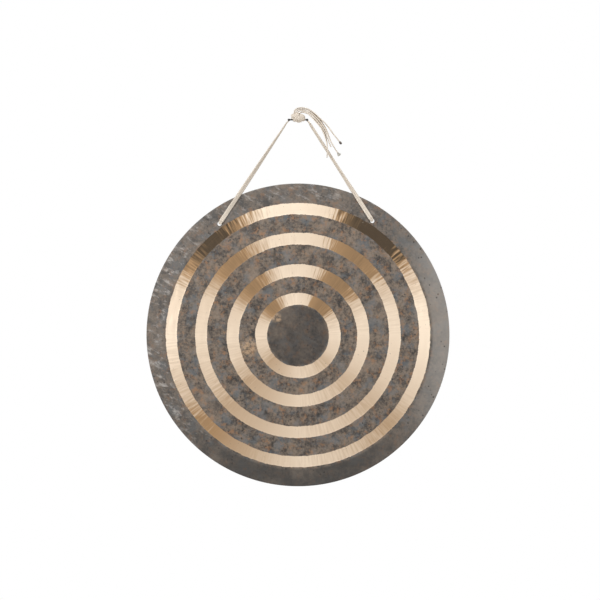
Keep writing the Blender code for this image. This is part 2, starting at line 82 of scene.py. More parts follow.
# Direction that each turn of the knot goes round, and its shift along it
KNOT_TURNS = (
    (0.45, 0.15, 0.88, 0.0032),
    (-0.55, 0.10, 0.83, -0.0012),
    (0.90, 0.05, -0.42, 0.0),
    (0.2, 0.2, 0.96, -0.0040),
)
FOLD_HALF = (0.0022, 0.0016)
RIM_GAP = 0.0028
STRAND_TOP_Y = {-1: -0.002, 1: 0.006}
SHOULDER = (0.016, -0.001)
PIN_HALF_LENGTH = 0.017
PIN_RADIUS = 0.0017
PIN_WAIST = 0.00125
TAIL_FREE = {
    "tail_long_dark": (
        (0.0436, -0.0108, -0.0058),
        (0.0508, -0.0120, -0.0144),
        (0.0571, -0.0126, -0.0235),
        (0.0630, -0.0128, -0.0309),
        (0.0680, -0.0128, -0.0372),
    ),
    "tail_long_pale": (
        (0.0412, -0.0112, -0.0096),
        (0.0469, -0.0122, -0.0200),
        (0.0512, -0.0126, -0.0304),
        (0.0543, -0.0128, -0.0376),
        (0.0582, -0.0128, -0.0446),
        (0.0618, -0.0128, -0.0506),
        (0.0653, -0.0128, -0.0557),
    ),
    "tail_short": (
        (0.0384, -0.0114, -0.0104),
        (0.0443, -0.0122, -0.0209),
        (0.0486, -0.0126, -0.0316),
        (0.0513, -0.0128, -0.0390),
        (0.0541, -0.0128, -0.0457),
    ),
    "tail_inner": (
        (0.0360, -0.0115, -0.0110),
        (0.0422, -0.0123, -0.0217),
        (0.0459, -0.0126, -0.0326),
        (0.0477, -0.0128, -0.0424),
        (0.0482, -0.0128, -0.0523),
        (0.0475, -0.0128, -0.0630),
    ),
}
# Where the inner tails leave the knot, by layer
TAIL_ROOTS = {
    1: ((-0.0052, 0.0019, 0.0085), (-0.0043, 0.0019, 0.0126)),
    2: ((-0.0030, 0.0019, 0.0085), (-0.0012, 0.0017, 0.0124)),
    3: ((-0.0005, 0.0018, 0.0085), (0.0030, 0.0014, 0.0113)),
}
# Layer under the outermost tail, how many points of the arch the tail shares, and its end's turn
TAIL_ROUTES = {
    "tail_long_dark": (0, 9, 0.0),
    "tail_long_pale": (1, 9, 78.0),
    "tail_short": (2, 8, 0.0),
    "tail_inner": (3, 7, 0.0),
}


class GongSizes(bpy.types.PropertyGroup):
    """Sizes and colours of the plate."""

    radius: FloatProperty(name="Radius", description="Radius of the disc", default=0.25, unit="LENGTH")
    wall: FloatProperty(name="Wall", description="Thickness of the plate", default=0.0016, unit="LENGTH")
    dish: FloatProperty(name="Dish", description="How far the middle bulges", default=0.014, unit="LENGTH")
    dish_power: FloatProperty(name="Dish power", description="How late the dish curves back", default=2.8)
    hole_distance: FloatProperty(
        name="Hole circle", description="Distance of the holes from the middle", default=0.2245, unit="LENGTH"
    )
    hole_radius: FloatProperty(name="Hole", description="Radius of a hole", default=0.0034, unit="LENGTH")
    turn: FloatProperty(
        name="Turn", description="Turn of the hung disc in its plane",
        default=math.radians(1.05), subtype="ANGLE",
    )
    hang_drop: FloatProperty(
        name="Drop", description="From the pin to the top of the disc", default=0.1048, unit="LENGTH"
    )
    dent: FloatProperty(name="Dents", description="Depth of hammer marks", default=0.00018, unit="LENGTH")
    rows: IntProperty(name="Rows", description="Grid rows from middle to rim", default=150)
    columns: IntProperty(name="Columns", description="Grid columns round the disc", default=300)
    # Painted highlight: colour of the scraped rings where the lamps reflect in them
    bright: FloatVectorProperty(
        name="Bright bronze", description="Scraped rings where they shine", default=(0.855, 0.713, 0.560),
        subtype="COLOR",
    )
    # Painted reflection at half strength, between the rings' lit and dark quarters
    golden: FloatVectorProperty(
        name="Golden bronze", description="Scraped rings half way",
        default=(0.34, 0.205, 0.10), subtype="COLOR",
    )
    # Painted shade: colour of the scraped rings in their dark quarters, where no lamp reflects
    dark: FloatVectorProperty(
        name="Dark bronze", description="Scraped rings in their dark quarters",
        default=(0.030, 0.020, 0.011), subtype="COLOR",
    )


class TapeSizes(bpy.types.PropertyGroup):
    """Sizes and colours of the cotton tape."""

    colour: FloatVectorProperty(
        name="Cotton", description="Colour of the tape", default=(0.66, 0.59, 0.505), subtype="COLOR"
    )
    # Painted shade: the tape's colour in the hollows between its yarns, where shade falls
    shade: FloatVectorProperty(
        name="Cotton shade", description="Colour between its yarns",
        default=(0.49, 0.42, 0.345), subtype="COLOR",
    )
    plait: FloatProperty(name="Plait", description="Length of one plait", default=0.0028, unit="LENGTH")


class StageSizes(bpy.types.PropertyGroup):
    """Camera, lamps and floor."""

    distance: FloatProperty(name="Distance", description="Camera to gong", default=3.0, unit="LENGTH")
    lens: FloatProperty(name="Lens", description="Focal length in millimetres", default=109.4)
    aim: FloatVectorProperty(
        name="Aim", description="Middle of the picture", default=(0.0033, 0.0, -0.2966), subtype="XYZ"
    )
    floor: FloatProperty(name="Floor", description="Height of the floor", default=-1.25, unit="LENGTH")


# Shader maths


class Wire:
    """A socket or a number, with the operators that shader maths needs."""

    def __init__(self, tree, socket):
        self.tree = tree
        self.socket = socket

    def maths(self, operation, *others):
        node = self.tree.nodes.new("ShaderNodeMath")
        node.operation = operation
        for place, value in enumerate((self, *others)):
            plug(self.tree, value, node.inputs[place])
        return Wire(self.tree, node.outputs[0])

    def __add__(self, other):
        return self.maths("ADD", other)

    def __sub__(self, other):
        return self.maths("SUBTRACT", other)

    def __rsub__(self, other):
        return (self * -1.0) + other

    def __mul__(self, other):
        return self.maths("MULTIPLY", other)

    def __truediv__(self, other):
        return self.maths("DIVIDE", other)

    __radd__ = __add__
    __rmul__ = __mul__


def plug(tree, value, target):
    """Links a wire to a socket, or sets the socket to a number or colour."""
    if isinstance(value, Wire):
        tree.links.new(value.socket, target)
    elif isinstance(value, (tuple, list)) and target.type == "RGBA":
        target.default_value = (*value[:3], 1.0)
    else:
        target.default_value = value


class Finish:
    """One material, and short ways to add its nodes."""

    def __init__(self, name):
        self.material = bpy.data.materials.new(name)
        self.material.use_nodes = True
        self.tree = self.material.node_tree
        self.shader = self.tree.nodes["Principled BSDF"]

    def node(self, kind, settings=None, output=0, **values):
        """Any node: its settings first, then the values or wires of its sockets."""
        made = self.tree.nodes.new("ShaderNode" + kind)
        for key, value in (settings or {}).items():
            if key == "stops":
                set_stops(made, value)
            else:
                setattr(made, key, value)
        for key, value in values.items():
            plug(self.tree, value, made.inputs[key.replace("_", " ")])
        return Wire(self.tree, made.outputs[output])

    def mix(self, factor, low, high, blend="MIX"):
        """Colour mix: low where factor is 0 and high where it is 1."""
        made = self.tree.nodes.new("ShaderNodeMix")
        made.data_type = "RGBA"
        made.blend_type = blend
        plug(self.tree, factor, made.inputs[0])
        plug(self.tree, low, made.inputs[6])
        plug(self.tree, high, made.inputs[7])
        return Wire(self.tree, made.outputs[2])

    def step(self, value, low, high):
        """Smooth step: 0 below low and 1 above high."""
        made = self.tree.nodes.new("ShaderNodeMapRange")
        made.interpolation_type = "SMOOTHSTEP"
        plug(self.tree, value, made.inputs["Value"])
        made.inputs["From Min"].default_value = low
        made.inputs["From Max"].default_value = high
        return Wire(self.tree, made.outputs[0])

    def noise(self, vector, scale, detail=4.0, roughness=0.55, seed=0.0):
        return self.node(
            "TexNoise", {"noise_dimensions": "4D"},
            Vector=vector, Scale=scale, Detail=detail, Roughness=roughness, W=seed,
        )

    def give(self, **sockets):
        """Plugs the shader's own sockets."""
        for key, value in sockets.items():
            plug(self.tree, value, self.shader.inputs[key.replace("_", " ")])

    def bump(self, height, distance, strength=1.0):
        self.give(Normal=self.node("Bump", Height=height, Distance=distance, Strength=strength))


def set_stops(node, stops):
    """Sets a colour ramp's stops: (place, colour) pairs."""
    ramp = node.color_ramp
    while len(ramp.elements) < len(stops):
        ramp.elements.new(0.5)
    for element, (place, colour) in zip(ramp.elements, stops):
        element.position = place
        element.color = (*colour, 1.0)


# Geometry


def grid_faces(rows, columns, closed_columns=True):
    """Quads of a grid of rows by columns, with the last column joined to the first if closed."""
    across = columns if closed_columns else columns - 1
    row, column = np.meshgrid(np.arange(rows - 1), np.arange(across), indexing="ij")
    after = (column + 1) % columns
    here, beyond = row * columns, (row + 1) * columns
    quads = [here + column, here + after, beyond + after, beyond + column]
    return np.stack(quads, axis=-1).reshape(-1, 4)


def make_mesh(name, points, quads, extra=(), uv=None):
    """A smooth mesh from points, quads and extra faces. uv gives each point's pair of coordinates."""
    mesh = bpy.data.meshes.new(name)
    mesh.from_pydata(np.asarray(points).reshape(-1, 3).tolist(), [], [*quads.tolist(), *extra])
    mesh.validate()
    mesh.shade_smooth()
    mesh.update()
    piece = bpy.data.objects.new(name, mesh)
    bpy.context.scene.collection.objects.link(piece)
    if uv is not None:
        lay_uv(mesh, uv)
    return piece


def lay_uv(mesh, uv):
    """Writes a pair of coordinates for each corner from its point's pair."""
    corner = np.empty(len(mesh.loops), dtype=np.int32)
    mesh.loops.foreach_get("vertex_index", corner)
    layer = mesh.uv_layers.new(name="surface")
    layer.uv.foreach_set("vector", np.asarray(uv, dtype=np.float32)[corner].ravel())


def turn_outwards(piece):
    """Makes every face of a closed piece look outwards."""
    work = bmesh.new()
    work.from_mesh(piece.data)
    bmesh.ops.recalc_face_normals(work, faces=work.faces)
    work.to_mesh(piece.data)
    work.free()


def unit(vectors):
    return vectors / np.linalg.norm(vectors, axis=-1, keepdims=True)


def travelled(path):
    return np.concatenate([[0.0], np.cumsum(np.linalg.norm(np.diff(path, axis=0), axis=1))])


def smooth_curve(points, step):
    """Catmull-Rom curve through the points: each stretch is the cubic whose slopes at its ends are
    half the way between the neighbouring points, then evenly spaced about a step apart."""
    knots = np.asarray(points, float)
    padded = np.vstack([2 * knots[0] - knots[1], knots, 2 * knots[-1] - knots[-2]])
    a, b, c, d = (padded[i : len(padded) - 3 + i, None, :] for i in range(4))
    t = np.linspace(0.0, 1.0, 24, endpoint=False)[None, :, None]
    fine = 0.5 * (2 * b + (c - a) * t + (2 * a - 5 * b + 4 * c - d) * t**2 + (3 * b - a - 3 * c + d) * t**3)
    fine = np.vstack([fine.reshape(-1, 3), knots[-1:]])
    way = travelled(fine)
    wanted = np.linspace(0.0, way[-1], max(3, round(way[-1] / step) + 1))
    return np.stack([np.interp(wanted, way, fine[:, axis]) for axis in range(3)], axis=1)


def tape(name, path, turn, half_width, half_thickness, sides=24, closed=False, ripple=0.00006, plait=0.0028):
    """A flat tape carried along a path. Its section is the superellipse
    (w |cos a|^0.55, t |sin a|^0.55), turned by the given degrees from lying flat along Y, and its
    wall swells by a ripple of sin(2 pi s / plait +- 2 pi u) for the plaited yarns."""
    ahead = unit(np.gradient(path, axis=0))
    if closed:
        ahead = unit(np.roll(path, -1, axis=0) - np.roll(path, 1, axis=0))
    depth = np.array([0.0, 1.0, 0.0])
    sideways = unit(np.cross(ahead, depth))
    inward = unit(depth - (ahead @ depth)[:, None] * ahead)
    radians = np.radians(np.broadcast_to(turn, (len(path),)))[:, None]
    width = np.cos(radians) * sideways + np.sin(radians) * inward
    thick = np.cross(ahead, width)
    angle = np.arange(sides) * 2 * math.pi / sides
    over = np.sign(np.cos(angle)) * np.abs(np.cos(angle)) ** 0.55
    up = np.sign(np.sin(angle)) * np.abs(np.sin(angle)) ** 0.55
    way = travelled(path)
    wave = np.sin(2 * math.pi * way[:, None] / plait + 2 * math.pi * np.abs(over)[None, :])
    half_width = np.broadcast_to(half_width, (len(path),))[:, None, None]
    half_thickness = np.broadcast_to(half_thickness, (len(path),))[:, None, None]
    rings = path[:, None, :] + half_width * over[None, :, None] * width[:, None, :]
    rings = rings + half_thickness * up[None, :, None] * thick[:, None, :]
    rings = rings + (ripple * wave * up[None, :])[:, :, None] * thick[:, None, :]
    uv = np.stack(np.broadcast_arrays(over[None, :] * 0.5, way[:, None] / (2 * TAPE_HALF[0])), axis=-1)
    count = len(path)
    if closed:
        quads = np.vstack([grid_faces(count, sides), closing_quads(count, sides)])
        extra = []
    else:
        quads = grid_faces(count, sides)
        extra = [tuple(range(sides)), tuple(range((count - 1) * sides, count * sides))]
    piece = make_mesh(name, rings, quads, extra, uv.reshape(-1, 2))
    turn_outwards(piece)
    return piece


def closing_quads(count, sides):
    """Quads from the last ring of a closed tape to its first."""
    side = np.arange(sides)
    after = (side + 1) % sides
    last = (count - 1) * sides
    return np.stack([last + side, last + after, after, side], axis=-1)


def dish_height(sizes, radius):
    return sizes.dish * (1 - (radius / sizes.radius) ** sizes.dish_power)


def hole_place(sizes, side):
    angle = side * HOLE_HALF_ANGLE
    along = sizes.hole_distance
    return Vector((along * math.sin(angle), -dish_height(sizes, along), along * math.cos(angle)))


def strand_direction(hole, side):
    return Vector((side * SHOULDER[0] - hole.x, 0.0, SHOULDER[1] - hole.z)).normalized()


def plate_matrix(sizes):
    """The plate's place: its holes bear on the tapes at y = 0, and it nods about them until its
    centre of mass is straight below."""
    drop = sizes.hang_drop + sizes.radius
    upright = Matrix.Translation((0.0, dish_height(sizes, sizes.hole_distance), -drop))
    upright = upright @ Matrix.Rotation(-sizes.turn, 4, "Y")
    holes = [upright @ hole_place(sizes, side) for side in (-1, 1)]
    left, right = (h + sizes.hole_radius * strand_direction(h, s) for h, s in zip(holes, (-1, 1)))
    radii = np.linspace(0.0, sizes.radius, 2001)
    forward = float(np.sum(dish_height(sizes, radii) * radii) / np.sum(radii))
    centre = upright @ Vector((0.0, -forward, 0.0))
    tilt = math.atan(centre.y / (centre.z - (left.z + right.z) / 2))
    nod = Matrix.Translation(left) @ Matrix.Rotation(tilt, 4, right - left)
    return nod @ Matrix.Translation(-left) @ upright


def hammer_marks(x, z, depth):
    """Soft dents: a sum of sine waves whose directions turn by the golden angle and whose lengths
    run from 11 to 60 mm, which gives an uneven field without a repeat."""
    height = np.zeros_like(x)
    for index in range(22):
        direction = index * 2.399963
        length = 0.011 + 0.049 * ((index * 0.61803) % 1.0)
        phase = index * 1.7
        height += np.sin(2 * math.pi * (x * math.cos(direction) + z * math.sin(direction)) / length + phase)
    return depth * height / math.sqrt(22)


def smooth(radius, edge):
    """Smooth step over 1.6 mm about an edge."""
    share = np.clip((radius - edge) / 0.0016 + 0.5, 0.0, 1.0)
    return share**2 * (3 - 2 * share)


def gong_points(sizes):
    """Rings of the plate's wall: front from the middle to the rim, round the rim, and back again.
    The wall's middle stands forward by D (1 - (r / R)^p), with hammer marks on both faces."""
    rows = sizes.rows
    rim = 0.0006
    inner = (sizes.radius - rim) * (np.arange(1, rows + 1) / rows) ** 0.85
    half = sizes.wall / 2
    bend = np.linspace(0.0, math.pi, 9)[1:-1]
    radius = np.concatenate([inner, sizes.radius - rim + rim * np.sin(bend), inner[::-3]])
    side = np.concatenate([np.full(rows, 1.0), np.cos(bend), np.full(len(inner[::-3]), -1.0)])
    turns = np.arange(sizes.columns) * 2 * math.pi / sizes.columns
    x = radius[:, None] * np.sin(turns)[None, :]
    z = radius[:, None] * np.cos(turns)[None, :]
    calm = np.clip((sizes.radius - radius) / 0.004, 0.0, 1.0)[:, None]
    scraped = sum(smooth(radius, inner) * (1 - smooth(radius, outer)) for inner, outer in RING_BANDS)
    forward = dish_height(sizes, radius)[:, None] + (half - SCRAPE_DEPTH * scraped)[:, None] * side[:, None]
    forward = forward + calm * hammer_marks(x, z, sizes.dent)
    return np.stack([x, -forward, z], axis=-1)


def make_gong(sizes):
    """The plate as one closed grid with a fan on each middle, drilled for the tapes."""
    grid = gong_points(sizes)
    rows, columns = grid.shape[:2]
    middle = [grid[0].mean(axis=0), grid[-1].mean(axis=0)]
    points = np.vstack([grid.reshape(-1, 3), middle])
    side = np.arange(columns)
    after = (side + 1) % columns
    last = (rows - 1) * columns
    fans = np.stack([np.full(columns, rows * columns), side, after], axis=-1).tolist()
    fans += np.stack([np.full(columns, rows * columns + 1), last + after, last + side], axis=-1).tolist()
    place = np.array(plate_matrix(sizes))
    points = points @ place[:3, :3].T + place[:3, 3]
    piece = make_mesh("hammered_plate", points, grid_faces(rows, columns), fans)
    turn_outwards(piece)
    for side_sign in (-1, 1):
        drill_hole(piece, sizes, side_sign)
    back = np.linalg.inv(place)
    at = np.empty(len(piece.data.vertices) * 3)
    piece.data.vertices.foreach_get("co", at)
    local = at.reshape(-1, 3) @ back[:3, :3].T + back[:3, 3]
    lay_uv(piece.data, local[:, [0, 2]])
    return piece


def drill_hole(piece, sizes, side):
    """Cuts one hole square to the wall."""
    angle = np.arange(32) * 2 * math.pi / 32
    reach = np.array([-0.006, 0.006])
    ring = sizes.hole_radius * np.stack([np.cos(angle), 0 * angle, np.sin(angle)], axis=-1)
    tube = ring[None, :, :] + reach[:, None, None] * np.array([0.0, 1.0, 0.0])
    ends = [tuple(range(32)), tuple(range(32, 64))]
    cutter = make_mesh("drill", tube, grid_faces(2, 32), ends)
    cutter.data.transform(plate_matrix(sizes) @ Matrix.Translation(hole_place(sizes, side)))
    turn_outwards(cutter)
    cut = piece.modifiers.new("hole", "BOOLEAN")
    cut.object = cutter
    cut.operation = "DIFFERENCE"
    bpy.context.view_layer.update()
    done = bpy.data.meshes.new_from_object(piece.evaluated_get(bpy.context.evaluated_depsgraph_get()))
    piece.modifiers.clear()
    piece.data = done
    bpy.data.objects.remove(cutter)


# Finishes


# Painted reflection on the scraped rings: share of brightness round the clock, from the top, at each
# twenty-fourth of a turn
RING_PAINTED_REFLECTION = (
    (0.0, 1.0), (0.045, 0.88), (0.065, 0.30), (0.10, 0.14), (0.14, 0.22), (0.165, 0.68), (0.21, 0.93),
    (0.25, 1.0), (0.33, 0.82), (0.375, 0.60), (0.43, 0.76), (0.5, 0.90), (0.57, 0.64), (0.63, 0.50),
    (0.67, 0.72), (0.75, 0.96), (0.81, 0.86), (0.845, 0.45), (0.875, 0.17), (0.905, 0.22), (0.935, 0.62),
    (0.96, 0.97), (1.0, 1.0),
)


def bronze_finish(sizes):
    """Fire scale over the whole plate with painted highlights and a painted sheen on its rim, and scraped
    rings whose colour round the clock is a painted reflection of the lamps in the tool's circular marks.
    """
    made = Finish("scraped_bronze")
    place = made.node("UVMap", {"uv_map": "surface"})
    parts = made.tree.nodes.new("ShaderNodeSeparateXYZ")
    plug(made.tree, place, parts.inputs[0])
    x, z = Wire(made.tree, parts.outputs[0]), Wire(made.tree, parts.outputs[1])
    radius = (x * x + z * z).maths("SQRT")
    clock = x.maths("ARCTAN2", z) / (2 * math.pi)
    clock = (clock + 1.0).maths("FRACT")
    teeth = made.step(radius, 0.083, 0.084) * 90.0 + made.step(radius, 0.133, 0.134) * 100.0
    teeth = teeth + made.step(radius, 0.183, 0.184) * 100.0 + 130.0
    polar = made.node("CombineXYZ", X=radius * 30.0, Y=clock * teeth)
    streak = made.noise(polar, 1.0, 2.0, 0.5, 1.0)
    ragged = made.noise(place, 420.0, 3.0, 0.6, 2.0)
    wander = made.noise(place, 60.0, 2.0, 0.5, 3.0)
    edge = radius + (ragged - 0.5) * 0.0024 + (wander - 0.5) * 0.0030
    ring = None
    for inner, outer in RING_BANDS:
        band = made.step(edge, inner - 0.0002, inner + 0.0003)
        band = band * (1 - made.step(edge, outer - 0.0003, outer + 0.0002))
        ring = band if ring is None else ring + band
    nick = made.step(made.noise(place, 230.0, 2.0, 0.7, 4.0), 0.66, 0.71)
    ring = ring * (1 - nick * 0.8)
    colour, rough, scale_height = fire_scale_and_rim_glints(made, place, radius, x, z)
    shine = painted_ring_reflection(made, clock, streak, radius)
    # Painted reflection: from painted shade in the rings' dark quarters, through a mid tone, to a painted
    # highlight where the lamps show
    stops = [(0.0, tuple(sizes.dark)), (0.42, tuple(sizes.golden)), (1.0, tuple(sizes.bright))]
    bright = made.node("ValToRGB", {"stops": stops}, Fac=shine)
    fine = made.noise(made.node("CombineXYZ", X=radius * 2600.0, Y=clock * 40.0), 1.0, 2.0, 0.5, 5.0)
    bright = made.mix(fine * 0.16, bright, (0.45, 0.30, 0.17))
    made.give(Base_Color=made.mix(ring, colour, bright))
    made.give(Metallic=ring * 0.38 + 0.25, Roughness=rough * (1 - ring) + ring * 0.36)
    chatter = streak * 0.35 + fine * 0.5
    made.bump(scale_height * (1 - ring) + ring * (chatter * 0.30 - 0.35), 0.0006, 0.7)
    return made.material


def painted_ring_reflection(made, clock, streak, radius):
    """Painted reflection on a scraped ring: its brightness by its clock place, broken by the tool's short
    radial chatter.
    """
    shaken = clock + (streak - 0.5) * 0.085
    stops = [(p, (s, s, s)) for p, s in RING_PAINTED_REFLECTION]
    ramp = made.node("ValToRGB", {"stops": stops}, Fac=shaken)
    outer = made.step(radius, 0.185, 0.195)
    value = made.node("SeparateColor", Color=ramp)
    deepened = value * 1.30 - 0.27
    lifted = value * 0.76 + 0.17
    return made.node("Clamp", Value=lifted * (1 - outer) + deepened * outer + (streak - 0.5) * 0.22)


def fire_scale_and_rim_glints(made, place, radius, x, z):
    """Mottled oxide: charcoal and brown clouds, blue-grey and rust patches and dark pits, with painted glints
    at the rim's left and top, a painted sheen on its right, and the rim darker at the bottom. Returns its
    colour, roughness and height."""
    broad = made.noise(place, 16.0, 6.0, 0.62, 10.0)
    cloud = made.noise(place, 48.0, 6.0, 0.68, 11.0)
    grain = made.noise(place, 210.0, 5.0, 0.7, 12.0)
    rust = made.step(made.noise(place, 85.0, 5.0, 0.7, 13.0), 0.52, 0.64)
    blue = made.step(made.noise(place, 38.0, 5.0, 0.66, 14.0), 0.48, 0.62)
    mottle = made.step(cloud * 0.55 + grain * 0.45, 0.40, 0.60)
    colour = made.mix(mottle, (0.024, 0.021, 0.019), (0.190, 0.145, 0.108))
    colour = made.mix(blue * 0.60, colour, (0.105, 0.118, 0.128))
    colour = made.mix(rust * 0.60, colour, (0.27, 0.130, 0.055))
    core = 1 - made.step(radius, 0.046, 0.052)
    colour = made.mix(core * 0.70, colour, (0.026, 0.022, 0.019))
    rim = made.step(radius, 0.216, 0.222)
    colour = made.mix(rim * 0.45, colour, (0.080, 0.074, 0.068))
    # Painted highlights: pale glints of the lamps on the hammer marks of the rim, strongest at its left and
    # top
    left = made.step(x * -1.0, 0.10, 0.22) * made.step(radius, 0.219, 0.224)
    top = made.step(z, 0.16, 0.235) * made.step(radius, 0.219, 0.224)
    smear = made.node("VectorRotate", {"rotation_type": "Z_AXIS"}, Vector=place, Angle=0.5)
    smear = made.node("Mapping", Vector=smear, Scale=(1.0, 2.2, 1.0))
    rim_glint = made.step(made.noise(smear, 46.0, 5.0, 0.72, 15.0), 0.50, 0.66)
    glint_zone = (left + top * 0.7 + 0.06).maths("MINIMUM", 1.0)
    colour = made.mix(rim_glint * glint_zone * 0.50, colour, (0.52, 0.49, 0.46))
    # Painted sheen: the right side of the rim lighter, as it turns back to face the right lamp
    right = made.step(x, 0.16, 0.24) * made.step(radius, 0.219, 0.224)
    colour = made.mix(right * 0.45, colour, (0.33, 0.31, 0.285))
    foot = made.step(z * -1.0, 0.12, 0.22) * made.step(radius, 0.219, 0.224)
    colour = made.mix(foot * 0.7, colour, (0.034, 0.030, 0.026))
    pits = made.step(made.node("TexVoronoi", Vector=place, Scale=120.0), 0.12, 0.24)
    spots = made.step(made.noise(place, 33.0, 3.0, 0.6, 16.0), 0.44, 0.56)
    pit = (1 - pits) * spots
    colour = made.mix(pit * 0.85, colour, (0.022, 0.018, 0.015))
    for px, pz, size in ((-0.082, -0.018, 0.017), (-0.035, 0.030, 0.009)):
        away = ((x - px) * (x - px) + (z - pz) * (z - pz)).maths("SQRT")
        near = 1 - made.step(away + (cloud - 0.5) * 0.02, size * 0.5, size * 1.15)
        colour = made.mix(near * made.step(grain, 0.38, 0.58) * 0.75, colour, (0.40, 0.27, 0.16))
    colour = made.mix(made.step(broad, 0.48, 0.72) * 0.35, colour, (0.25, 0.195, 0.150))
    rough = grain * 0.30 + rim * -0.05 + 0.38
    return colour, rough, cloud * 0.35 + grain * 0.45 + pit * -0.5


def cotton_finish(sizes):
    """Flat plaited cotton: a row of V stitches down each half and a stitched line in the middle, with painted
    shade in the hollows between the yarns.
    """
    made = Finish("plaited_cotton")
    place = made.node("UVMap", {"uv_map": "surface"})
    parts = made.tree.nodes.new("ShaderNodeSeparateXYZ")
    plug(made.tree, place, parts.inputs[0])
    across, way = Wire(made.tree, parts.outputs[0]), Wire(made.tree, parts.outputs[1])
    turns = 2 * math.pi * 2 * TAPE_HALF[0] / sizes.plait
    from_middle = across.maths("ABSOLUTE")
    plait = (way * turns + from_middle * 9.0).maths("SINE") * 0.5 + 0.5
    middle = 1 - made.step(from_middle, 0.03, 0.10)
    yarn = (across * 75.0).maths("SINE") * 0.5 + 0.5
    fuzz = made.noise(made.node("TexCoord", output=3), 900.0, 3.0, 0.6, 1.0)
    height = plait * 0.6 + yarn * 0.2 + fuzz * 0.2 - middle * 0.5
    # Painted shade: the colour goes towards the shade colour where the weave is low, between the yarns and
    # along the middle line
    deep = made.step(height, 0.0, 0.85)
    colour = made.mix(deep, tuple(sizes.shade), tuple(sizes.colour))
    made.give(Base_Color=colour, Roughness=fuzz * 0.1 + 0.82, Metallic=0.0)
    made.bump(height, 0.0003, 0.28)
    return made.material


def lump_finish(name, low, high, rough):
    """Melted tape end: cloudy colour and a soft skin."""
    made = Finish(name)
    place = made.node("TexCoord", output=3)
    cloud = made.noise(place, 700.0, 4.0, 0.6, 3.0)
    made.give(Base_Color=made.mix(made.step(cloud, 0.35, 0.65), low, high), Roughness=cloud * 0.2 + rough)
    made.bump(cloud, 0.0004, 0.6)
    return made.material


# Pieces


def finish_piece(piece, material, body, slot, *nodes):
    """Gives a piece its finish, hangs it on the body that it rides on, and hides the imported parts that it
    replaces.
    """
    piece.data.materials.clear()
    piece.data.materials.append(material)
    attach(piece, body)
    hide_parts(*nodes)
    return piece


def strand_line(sizes, side, face):
    """Middle line of one strand: up from the fold, past the rim and on to the knot's shoulder."""
    place = plate_matrix(sizes)
    hole = place @ hole_place(sizes, side)
    ahead = strand_direction(hole, side)
    centre = place @ Vector((0.0, 0.0, 0.0))
    flat = Vector((hole.x - centre.x, 0.0, hole.z - centre.z))
    towards = flat.dot(ahead)
    reach = -towards + math.sqrt(towards**2 - flat.length_squared + sizes.radius**2)
    local = Matrix.Rotation(sizes.turn, 4, "Y") @ (flat + reach * ahead)
    rim = place @ Vector((local.x, 0.0, local.z))
    start = FOLD_OFFSET + FOLD_RISE + STRAND_GAP
    end = (STRANDS_END_Z - hole.z) / ahead.z
    beside = rim.y + face * (sizes.wall / 2 + RIM_GAP + TAPE_HALF[1])
    spots = [hole + d * ahead for d in (start, reach, end)]
    heights = (face * FOLD_REACH, beside, STRAND_TOP_Y[face])
    return smooth_curve([(p.x, y, p.z) for p, y in zip(spots, heights)], 0.0009)


def fold_line(sizes, side):
    """Half an ellipse through the hole, from the front strand to the back one."""
    hole = np.array(plate_matrix(sizes) @ hole_place(sizes, side))
    ahead = np.array(strand_direction(Vector(hole), side))
    half_turn = np.linspace(-math.pi / 2, math.pi / 2, 41)
    rise = FOLD_OFFSET + FOLD_RISE * (1 - np.cos(half_turn))
    line = hole[None, :] + rise[:, None] * ahead[None, :]
    line[:, 1] = FOLD_REACH * np.sin(half_turn)
    return line, half_turn, ahead


def make_fold(name, sizes, side):
    """The tape bunched up in its hole: its half width runs from 3.5 mm to 2.2 mm and back."""
    line, half_turn, ahead = fold_line(sizes, side)
    share = np.clip((np.abs(half_turn) / (math.pi / 2) - 0.25) / 0.75, 0.0, 1.0)
    share = share**2 * (3 - 2 * share)
    wide, thick = (slim + (full - slim) * share for slim, full in zip(FOLD_HALF, TAPE_HALF))
    forward = unit(np.gradient(line, axis=0))
    forward[0], forward[-1] = -ahead, ahead
    across = unit(np.cross(ahead, [0.0, 1.0, 0.0]))
    normal = np.cross(forward, across[None, :])
    angle = np.arange(24) * 2 * math.pi / 24
    over = np.sign(np.cos(angle)) * np.abs(np.cos(angle)) ** 0.6
    up = np.sign(np.sin(angle)) * np.abs(np.sin(angle)) ** 0.6
    rings = line[:, None, :] + wide[:, None, None] * over[None, :, None] * across[None, None, :]
    rings = rings + thick[:, None, None] * up[None, :, None] * normal[:, None, :]
    way = travelled(line)
    uv = np.stack(np.broadcast_arrays(over[None, :] * 0.5, way[:, None] / (2 * TAPE_HALF[0])), axis=-1)
    ends = [tuple(range(24)), tuple(range(40 * 24, 41 * 24))]
    piece = make_mesh(name, rings, grid_faces(41, 24), ends, uv.reshape(-1, 2))
    turn_outwards(piece)
    return piece


def tail_line(name):
    """A tail's middle line: the arch moved inwards by its layer, then its own points."""
    layer, shared, _ = TAIL_ROUTES[name]
    arch = smooth_curve(TAIL_ARCH, 0.001)
    inward = unit(np.cross(unit(np.gradient(arch, axis=0)), [0.0, -1.0, 0.0]))
    moved = arch + layer * TAIL_PITCH * inward
    marks = np.searchsorted(travelled(arch), travelled(np.array(TAIL_ARCH[:shared])))
    marks = np.clip(marks, 0, len(arch) - 1)
    left_out = layer + 1 if layer else 0
    roots = TAIL_ROOTS.get(layer, ())
    return smooth_curve([*roots, *moved[marks][left_out:], *TAIL_FREE[name]], 0.0008)


class GONG_OT_plate(bpy.types.Operator):
    """Makes the hammered plate with its scraped rings"""

    bl_idname = "gong.plate"
    bl_label = "Plate"

    def execute(self, context):
        sizes = context.scene.gong_sizes
        finish_piece(make_gong(sizes), bronze_finish(sizes), "gong", "bronze", "gong_plate")
        return {"FINISHED"}


